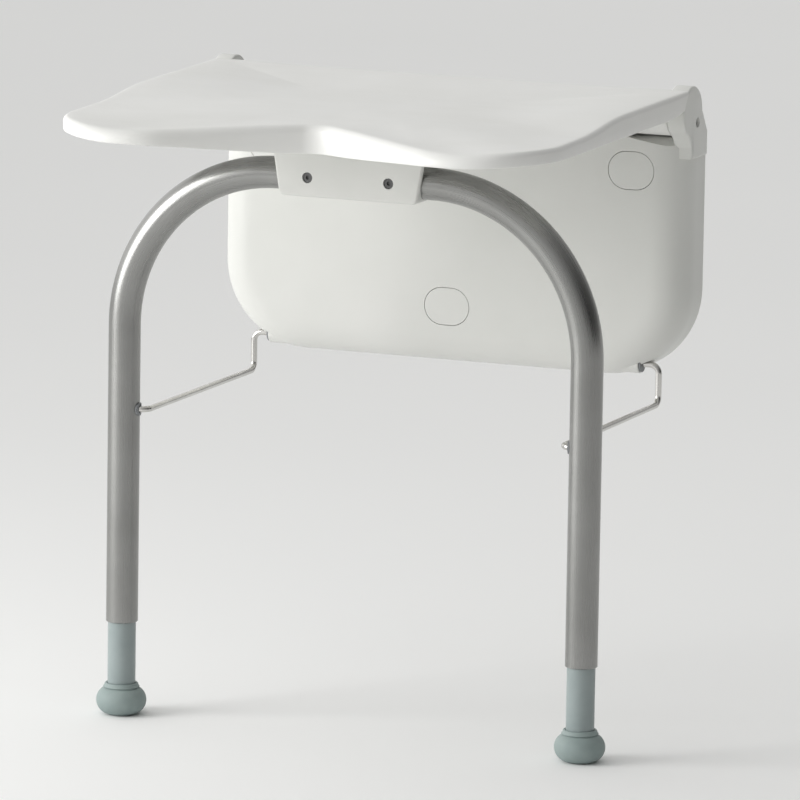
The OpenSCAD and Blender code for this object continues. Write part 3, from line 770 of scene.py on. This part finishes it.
def plateOutline(shrink=0.0):
    s = plateShape
    x = plateHalf - shrink
    low = plateLow.z + shrink
    high = seatTop - s["topDrop"] - shrink
    radii = [s["cornerR"] - shrink] * 2 + [s["topR"] - shrink] * 2
    loop = roundedLoop([(-x, low), (x, low), (x, high), (-x, high)], radii, 22)
    # extra points on the straight runs, so that the crown is smooth
    dense = []
    for i, p in enumerate(loop):
        q = loop[(i + 1) % len(loop)]
        length = math.hypot(q[0] - p[0], q[1] - p[1])
        steps = max(1, int(length / 7))
        for k in range(steps):
            dense.append((p[0] + (q[0] - p[0]) * k / steps, p[1] + (q[1] - p[1]) * k / steps))
    return np.array(dense)


def plateDepth(inset, thick):
    # how far the plate stands off the wall, at a distance in from its outline
    s = plateShape
    t = min(1.0, inset / s["crownInset"])
    rise = math.sqrt(max(0.0, 1 - (1 - t) ** 2.4))
    return s["edgeDepth"] + (thick - s["crown"] - s["edgeDepth"]) * rise


def aboveBarrel(shrink):
    # the plate's top rolls round the hinge axis, so that the seat's rear edge clears it
    reach = seatHalf + 20
    block = slab("aboveBarrel", -reach, reach, wallY - 80, wallY + 10, hingeZ - shrink, seatTop + 30,
                 sharp)
    barrel = extruded("barrel", circleLoop(hingeY, hingeZ, plateShape["barrelR"] - shrink, 96), "x",
                      -reach - 5, reach + 5, sharp, 1)
    return combine(block, [barrel], "DIFFERENCE")


def platePillow(name, shrink, backDepth):
    s = plateShape
    thick = s["thick"] - shrink
    loop = plateOutline(shrink)
    centre = np.array([0, (plateLow.z + seatTop - s["topDrop"]) / 2])
    rings = []

    def ring(pts, depths):
        out = []
        for p, d in zip(pts, np.broadcast_to(depths, (len(pts),))):
            out.append((p[0], wallY - d, p[1]))
        return out

    edge = s["edgeDepth"] - shrink * 0.3
    for d in np.linspace(backDepth, edge, 7):
        rings.append(ring(loop, d))
    for k in range(1, 15):
        inset = s["crownInset"] * (k / 14) ** 1.7
        rings.append(ring(insetLoop(loop, inset), plateDepth(inset, thick + shrink) - shrink))
    start = insetLoop(loop, s["crownInset"])
    for share in (0.08, 0.18, 0.3, 0.45, 0.6, 0.75, 0.88):
        pts = start + (centre - start) * share
        rings.append(ring(pts, thick - s["crown"] * (1 - share) ** 2))
    return loft(name, rings)


def ovalLoop(x, z, width, height, count=20):
    half = (width - height) / 2
    pts = []
    for k in range(count + 1):
        a = -math.pi / 2 + math.pi * k / count
        pts.append((x + half + height / 2 * math.cos(a), z + height / 2 * math.sin(a)))
    for k in range(count + 1):
        a = math.pi / 2 + math.pi * k / count
        pts.append((x - half + height / 2 * math.cos(a), z + height / 2 * math.sin(a)))
    return pts


def depthSlab(name, loop, d0, d1):
    return extruded(name, loop, "y", wallY - d1, wallY - d0, sharp, 1)


def buildEar():
    e = earShape
    cy = hingeY - e["out"]
    cz = hingeZ + e["up"]
    loop = []
    for k in range(61):
        a = math.radians(230 * k / 60)
        loop.append((cy + e["radius"] * math.cos(a), cz + e["radius"] * math.sin(a)))
    # a short neck lets the disc down into the plate's top corner
    front = loop[-1]
    foot = (wallY - e["neckFront"], e["neckZ"])
    for k in range(1, 7):
        t = k / 7
        bend = math.sin(math.pi * t) * e["neckBend"]
        y = front[0] + (foot[0] - front[0]) * t + bend
        loop.append((y, front[1] + (foot[1] - front[1]) * t + bend * 0.4))
    rearY = wallY - e["rearIn"]
    low = foot[1] - e["neckDeep"]
    loop += [foot, (foot[0], low), (rearY, low), (rearY, cz - e["rearDrop"])]
    outside = pinHigh.x + e["proud"]
    inside = outside - e["thick"]
    ear = extruded("ear", loop, "x", inside, outside, e["edge"], 5)
    return ear, inside


def buildScoop(side, inner, outer):
    # the bright hollow that runs up from the plate's face to the ear, under the knuckle
    s = plateShape
    rings = []
    count = 9
    for k in range(count):
        t = k / (count - 1)
        x = inner + (outer - inner) * t
        frontZ = s["shelfInner"] + (s["shelfOuter"] - s["shelfInner"]) * t
        rise = s["scoopTop"] - frontZ
        faceY = wallY - s["thick"]
        loop = [(wallY - 10, frontZ - 9), (faceY, frontZ - 9), (faceY, frontZ)]
        for step in range(1, 9):
            u = step / 8
            loop.append((faceY + (s["thick"] - s["scoopBack"]) * u, frontZ + rise * u ** 1.7))
        loop.append((wallY - 10, s["scoopTop"]))
        rings.append([(side * x, y, z) for y, z in loop])
    return loft("scoop", rings)


def buildPlate():
    s = plateShape
    body = platePillow("plateBody", 0, 0)
    hollow = platePillow("plateHollow", s["wall"], -2)
    ear, earInside = buildEar()
    slotIn = bushLow.x - s["slotGap"]
    slotOut = plateHalf + 4
    slotTop = seatTop + 5
    slotLoop = [(slotIn, s["shelfInner"]), (slotOut, s["shelfOuter"]), (slotOut, slotTop), (slotIn, slotTop)]
    slotRight = extruded("slot", slotLoop, "y", wallY - 60, wallY + 5, sharp, 1)
    slotLeft = mirrored(slotRight, "slotLeft")
    combine(body, [aboveBarrel(0)], "DIFFERENCE")
    combine(hollow, [aboveBarrel(s["wall"])], "DIFFERENCE")
    combine(body, [hollow, slotRight, slotLeft], "DIFFERENCE")
    # shelf and inner wall that close the plate round each knuckle
    insideY = wallY - s["insideDepth"]
    solids = []
    for side in (-1, 1):
        wallX = side * (slotIn - s["wall"])
        rimX = side * (plateHalf - 2.5)
        loop = [(wallX, s["shelfInner"]), (rimX, s["shelfOuter"] + 0.4), (rimX, s["shelfOuter"] - s["wall"]),
                (wallX, s["shelfInner"] - s["wall"])]
        shelf = extruded("shelf", loop, "y", wallY - 45, wallY - 0.5, sharp, 1)
        combine(shelf, [platePillow("trim", 0.4, 0.2)], "INTERSECT")
        solids.append(shelf)
        scoop = buildScoop(side, slotIn - 1, plateHalf + 1)
        combine(scoop, [platePillow("trim", 0.2, 0.2)], "INTERSECT")
        solids.append(scoop)
        x0, x1 = sorted((wallX, side * slotIn))
        solids.append(slab("slotWall", x0, x1, insideY, wallY - 1.5, s["shelfInner"] - 2, hingeZ - 1, 0.3))
    solids += [ear, mirrored(ear, "earLeft")]
    capPlaces = [(capHigh.x + capLow.x) / 2, -(capHigh.x + capLow.x) / 2, 0]
    capZs = [(capHigh.z + capLow.z) / 2] * 2 + [(lowCapHigh.z + lowCapLow.z) / 2]
    width = capHigh.x - capLow.x
    height = capHigh.z - capLow.z
    for x, z in zip(capPlaces, capZs):
        room = 0.8
        wide = 2 * s["pocketWall"] + room
        tube = depthSlab("pocket", ovalLoop(x, z, width + wide, height + wide), 0.0, s["insideDepth"])
        hole = depthSlab("pocketHole", ovalLoop(x, z, width + room, height + room), s["pad"], 50)
        combine(tube, [hole], "DIFFERENCE")
        solids.append(tube)
    for side in (-1, 1):
        low, high = boxMm("stay_bush_right")
        x0, x1 = sorted((side * low.x, side * (high.x - s["flange"])))
        solids.append(extruded("stayBoss", circleLoop(stayY, stayZ, s["bossR"]), "x", x0, x1, 0.5))
        x = side * s["ribX"]
        half = s["ribT"] / 2
        ribTop = s["shelfInner"] - 3
        solids.append(slab("plateRib", x - half, x + half, insideY, wallY - 2, stayZ + 30, ribTop, 0.3))
    combine(body, solids, "UNION")
    cutters = []
    for x, z in zip(capPlaces, capZs):
        gap = s["capGap"] * 2 + 0.1
        cutters.append(depthSlab("capHole", ovalLoop(x, z, width + gap, height + gap), s["pad"], 60))
        cutters.append(depthSlab("screwHole", circleLoop(x, z, s["screwR"], 32), -3, s["pad"] + 2))
    pinR = (pinHigh.z - pinLow.z) / 2 + s["pinRoom"]
    for side in (-1, 1):
        x0, x1 = sorted((side * (earInside - 3), side * (seatHalf + 3)))
        cutters.append(extruded("pinHole", circleLoop(hingeY, hingeZ, pinR, 40), "x", x0, x1, sharp))
        low, high = boxMm("stay_bush_right")
        x0, x1 = sorted((side * (low.x - 2), side * (high.x + s["wireRoom"])))
        cutters.append(extruded("bushHole", circleLoop(stayY, stayZ, s["bushR"], 32), "x", x0, x1, sharp))
        x0, x1 = sorted((side * (high.x - s["flange"]), side * (high.x + 0.35)))
        cutters.append(extruded("flangeRoom", circleLoop(stayY, stayZ, s["bossR"], 32), "x", x0, x1, sharp))
    combine(body, cutters, "DIFFERENCE")
    body.name = "wallPlate"
    finishPiece(body, "wall_mount", platePaintedShadePlastic, ["wall_plate"], 34)
    # oval caps that sit flush in the crowned face
    names = ["cap_upper_right", "cap_upper_left", "cap_lower"]
    for node, x, z in zip(names, capPlaces, capZs):
        cap = depthSlab(node, ovalLoop(x, z, width - 0.1, height - 0.1), 37, 60)
        combine(cap, [platePillow("trim", 0.05, 0.2)], "INTERSECT")
        cap.name = "plateCap_" + node[4:]
        finishPiece(cap, "wall_mount", platePaintedShadePlastic, [node], 34)


buildPlate()
print("wall plate and caps made")


pipeShape = {"bendR": 128, "wall": 1.5, "around": 72, "holeR": 4.35, "pitch": 20, "holes": 7, "firstHole": 2,
             "stayHoleR": 3.91, "slotHalf": 2.75, "slotStart": 201, "slotSweep": 128, "rim": 0.4}


def pipePath():
    # centre line from the left end over the top to the right end, as x, z
    p = pipeShape
    straight = legX - p["bendR"]
    bendZ = tubeZ - p["bendR"]
    low = tubeLow.z
    pts = []
    for k in range(13):
        pts.append((-legX, low + (bendZ - low) * k / 12, 0, 1))
    for k in range(1, 49):
        a = math.pi - math.pi / 2 * k / 48
        x = -straight + p["bendR"] * math.cos(a)
        pts.append((x, bendZ + p["bendR"] * math.sin(a), math.sin(a), -math.cos(a)))
    half = list(pts)
    for x, z, tx, tz in half[::-1]:
        pts.append((-x, z, tx, -tz))
    return pts


def buildTube():
    p = pipeShape
    path = pipePath()
    along = [0.0]
    for a, b in zip(path, path[1:]):
        along.append(along[-1] + math.hypot(b[0] - a[0], b[1] - a[1]))
    rings = []
    marks = []

    def ring(i, radius, shift=0.0):
        x, z, tx, tz = path[i]
        out = []
        for k in range(p["around"]):
            a = 2 * math.pi * k / p["around"]
            side = radius * math.cos(a)
            out.append((x + tx * shift - tz * side, legY + radius * math.sin(a), z + tz * shift + tx * side))
            marks.append((radius * math.cos(a) * mm, radius * math.sin(a) * mm, (along[i] + shift) * mm))
        rings.append(out)

    last = len(path) - 1
    shifts = {0: p["rim"], last: -p["rim"]}
    bore = tubeR - p["wall"]
    for i in range(last, -1, -1):
        ring(i, bore, shifts.get(i, 0))
    ring(0, bore + 0.3)
    ring(0, tubeR - p["rim"])
    for i in range(last + 1):
        ring(i, tubeR, shifts.get(i, 0))
    ring(last, tubeR - p["rim"])
    ring(last, bore + 0.3)
    count = p["around"]
    points = [q for r in rings for q in r]
    faces = []
    for i in range(len(rings)):
        j = (i + 1) % len(rings)
        for k in range(count):
            n = (k + 1) % count
            faces.append((i * count + k, i * count + n, j * count + n, j * count + k))
    mesh = bpy.data.meshes.new("legTube")
    mesh.from_pydata([(x * mm, y * mm, z * mm) for x, y, z in points], [], faces)
    tube = bpy.data.objects.new("legTube", mesh)
    bpy.context.scene.collection.objects.link(tube)
    roundMap = mesh.uv_layers.new(name="pipeRound")
    alongMap = mesh.uv_layers.new(name="pipeAlong")
    for loop in mesh.loops:
        mark = marks[loop.vertex_index]
        roundMap.data[loop.index].uv = (mark[0], mark[1])
        alongMap.data[loop.index].uv = (mark[2], 0)
    bm = bmesh.new()
    bm.from_mesh(mesh)
    bmesh.ops.recalc_face_normals(bm, faces=bm.faces)
    bm.to_mesh(mesh)
    bm.free()
    buttonLow, buttonHigh = boxMm("snap_button_right")
    buttonZ = (buttonLow.z + buttonHigh.z) / 2
    stayHoleZ = tubeZ - (hingeZ - stayZ)
    cutters = []
    for side in (-1, 1):
        for k in range(p["holes"]):
            z = buttonZ + (p["firstHole"] - k) * p["pitch"]
            cutters.append(extruded("buttonHole", circleLoop(side * legX, z, p["holeR"], 32), "y",
                                    legY + 5, legY + tubeR + 2, sharp, 1))
        x0, x1 = sorted((side * (legX - tubeR - 2), side * (legX - 5)))
        stayHole = circleLoop(legY, stayHoleZ, p["stayHoleR"], 32)
        cutters.append(extruded("stayHole", stayHole, "x", x0, x1, sharp, 1))
        # slot that the guide screw's tip rides in
        x = side * housingShape["span"] / 2
        turns = [math.radians(p["slotStart"] - p["slotSweep"] * k / 24) for k in range(25)]
        loop = [(legY + (tubeR + 1) * math.cos(a), tubeZ + (tubeR + 1) * math.sin(a)) for a in turns]
        loop += [(legY + (bore - 1) * math.cos(a), tubeZ + (bore - 1) * math.sin(a)) for a in turns[::-1]]
        cutters.append(extruded("guideSlot", loop, "x", x - p["slotHalf"], x + p["slotHalf"], sharp, 1))
    combine(tube, cutters, "DIFFERENCE")
    return finishPiece(tube, "leg_frame", legAluminium, ["leg_tube"], 40)


buildTube()
print("leg tube made")


footShape = {"height": 25, "radius": 19.7, "sole": 6, "bore": 11.0, "neck": 13.4,
             "bulge": 10.6, "bulgeZ": 11.2, "bulgeHalf": 11.0,
             "grooves": (3, 7), "grooveWide": 2, "grooveDeep": 1.2}


def buildFoot(side, name, body, node):
    f = footShape
    top = f["height"]
    neck = f["neck"]
    bore = f["bore"]
    shoulder = f["radius"] - f["bulge"]
    profile = []
    # grip grooves on the sole
    for r in f["grooves"]:
        wide = f["grooveWide"]
        profile += [(r, 0.0), (r + 0.2, f["grooveDeep"]), (r + wide - 0.2, f["grooveDeep"]), (r + wide, 0.0)]
    profile.append((shoulder + 1.5, 0.0))
    for k in range(33):
        a = math.radians(-76 + 142 * k / 32)
        profile.append((shoulder + f["bulge"] * math.cos(a), f["bulgeZ"] + f["bulgeHalf"] * math.sin(a)))
    profile += [(neck + 0.9, top - 3.0), (neck, top - 1.8), (neck - 0.2, top - 0.7), (neck - 0.9, top)]
    profile += [(bore + 0.6, top), (bore, top - 0.6), (bore, f["sole"]), (2.0, f["sole"])]
    foot = revolved(name, profile, side * legX, legY)
    return finishPiece(foot, body, footRubber, [node], 50)


buildFoot(-1, "rubberFootLeft", "left_leg", "foot_left")
buildFoot(1, "rubberFootRight", "right_leg", "foot_right")
print("feet made")

keptFinishes = {
    "inner_leg": innerPlastic, "stay_wire": staySteel,
    "stay_grommet": bushPlastic, "stay_bush": bushPlastic, "hinge_bush": bushPlastic,
    "hinge_pin": screwSteel, "housing_screws": screwSteel, "guide_screws": darkSteel,
    "foot_washer": screwSteel, "button_spring": screwSteel, "snap_button": screwSteel,
}
for nodeName, node in frame["nodes"].items():
    for start, material in keptFinishes.items():
        if nodeName.startswith(start):
            node.data.materials.clear()
            node.data.materials.append(material)
print("finishes put on the kept nodes")

floorLook = {"half": 30.0, "tint": (0.93, 0.93, 0.925), "tintTwo": (0.96, 0.96, 0.955), "cloudScale": 1.4,
             "rough": 0.85, "specular": 0.2}
floorMesh = bpy.data.meshes.new("floor")
half = floorLook["half"]
corners = [(-half, -half, 0), (half, -half, 0), (half, half, 0), (-half, half, 0)]
floorMesh.from_pydata(corners, [], [(0, 1, 2, 3)])
floor = bpy.data.objects.new("floor", floorMesh)
bpy.context.scene.collection.objects.link(floor)
floorMaterial, floorTree, floorShader = newMaterial("palePaper")
cloudy = noiseAt(floorTree, objectPlace(floorTree), floorLook["cloudScale"], 3)
floorColour = mixed(floorTree, cloudy, floorLook["tint"], floorLook["tintTwo"])
floorTree.links.new(floorColour, floorShader.inputs["Base Color"])
floorShader.inputs["Roughness"].default_value = floorLook["rough"]
floorShader.inputs["Specular IOR Level"].default_value = floorLook["specular"]
floorMesh.materials.append(floorMaterial)

worldLook = {"base": 0.62, "left": 0.60, "up": 0.10}
world = bpy.data.worlds.new("studio")
bpy.context.scene.world = world
world.use_nodes = True
worldTree = world.node_tree
sky = worldTree.nodes["Background"]
direction = worldTree.nodes.new("ShaderNodeTexCoord")
lean = worldTree.nodes.new("ShaderNodeVectorMath")
lean.operation = "DOT_PRODUCT"
lean.inputs[1].default_value = (-worldLook["left"], 0, worldLook["up"])
worldTree.links.new(direction.outputs["Generated"], lean.inputs[0])
lift = worldTree.nodes.new("ShaderNodeMath")
lift.operation = "ADD"
lift.inputs[1].default_value = worldLook["base"]
worldTree.links.new(lean.outputs["Value"], lift.inputs[0])
worldTree.links.new(lift.outputs["Value"], sky.inputs["Strength"])
sky.inputs["Color"].default_value = (1, 1, 0.99, 1)

lampLooks = {
    "keyLamp": {"place": (-1.5, -1.1, 0.75), "aim": (0, 0.05, 0.35), "size": 1.0, "power": 20,
                "tint": (1, 1, 0.99)},
}
for lampName, lamp in lampLooks.items():
    light = bpy.data.lights.new(lampName, "AREA")
    light.shape = "SQUARE"
    light.size = lamp["size"]
    light.energy = lamp["power"]
    light.color = lamp["tint"]
    holder = bpy.data.objects.new(lampName, light)
    holder.location = lamp["place"]
    holder.rotation_euler = (Vector(lamp["aim"]) - Vector(lamp["place"])).to_track_quat("-Z", "Y").to_euler()
    bpy.context.scene.collection.objects.link(holder)

cameraLook = {
    "turn": 22.35, "tilt": 9.98, "roll": 0.90,              # degrees
    "aim": (0.08991, -0.16656, 0.29133), "distance": 5.844, "lens": 351.1,
}
turn, tilt, roll = [math.radians(cameraLook[k]) for k in ("turn", "tilt", "roll")]
look = Vector((-math.sin(turn) * math.cos(tilt), math.cos(turn) * math.cos(tilt), -math.sin(tilt)))
rightWay = Vector((math.cos(turn), math.sin(turn), 0))
upWay = rightWay.cross(look)
camRight = rightWay * math.cos(roll) + upWay * math.sin(roll)
camUp = upWay * math.cos(roll) - rightWay * math.sin(roll)
cameraData = bpy.data.cameras.new("studioCamera")
cameraData.lens = cameraLook["lens"]
cameraData.sensor_width = 36
cameraData.clip_end = 200
camera = bpy.data.objects.new("studioCamera", cameraData)
facing = Matrix((camRight, camUp, -look)).transposed().to_4x4()
camera.matrix_world = Matrix.Translation(Vector(cameraLook["aim"]) - look * cameraLook["distance"]) @ facing
bpy.context.scene.collection.objects.link(camera)
bpy.context.scene.camera = camera
bpy.context.scene.view_settings.view_transform = "Standard"
print("floor, light and camera made")
